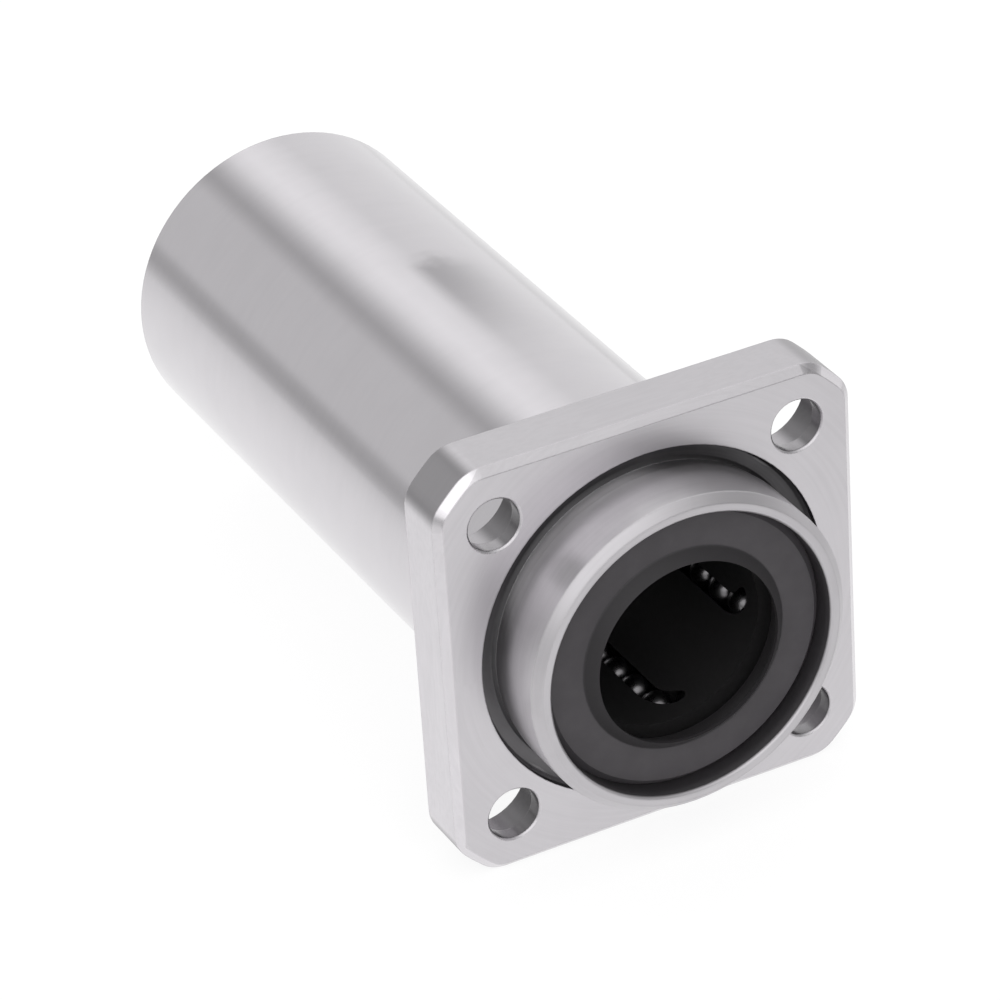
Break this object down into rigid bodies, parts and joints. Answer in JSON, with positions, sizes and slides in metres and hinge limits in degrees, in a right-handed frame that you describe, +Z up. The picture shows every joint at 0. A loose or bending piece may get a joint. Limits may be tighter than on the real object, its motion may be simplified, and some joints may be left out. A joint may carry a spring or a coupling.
{
  "type": "square flange linear ball bushing with pilot",
  "caption": "Linear ball bushing with a square flange, a short pilot and a long ground sleeve. Sealed resin cages hold recirculating balls for a round shaft.",
  "frame": {"origin": "on the bore axis, in the flange's seating face on the pilot side", "axes": "+Y along the bore towards the long sleeve's end, -Y out of the pilot, +Z up, flange sides along X and Z"},
  "size_m": [0.037, 0.0736, 0.037],
  "materials": {
    "bearing_steel": "ground and polished",
    "seal_rubber": "matte",
    "cage_resin": "moulded satin",
    "spring_steel": "dark satin",
    "ball_steel": "polished"
  },
  "bodies": {
    "root": {"outer_sleeve": "bearing_steel", "front_seal": "seal_rubber", "rear_seal": "seal_rubber", "front_retainer": "cage_resin", "rear_retainer": "cage_resin", "front_retaining_ring": "spring_steel", "rear_retaining_ring": "spring_steel", "front_ball_circuit_1": "ball_steel", "front_ball_circuit_2": "ball_steel", "front_ball_circuit_3": "ball_steel", "front_ball_circuit_4": "ball_steel", "front_ball_circuit_5": "ball_steel", "rear_ball_circuit_1": "ball_steel", "rear_ball_circuit_2": "ball_steel", "rear_ball_circuit_3": "ball_steel", "rear_ball_circuit_4": "ball_steel", "rear_ball_circuit_5": "ball_steel"}
  },
  "joints": []
}
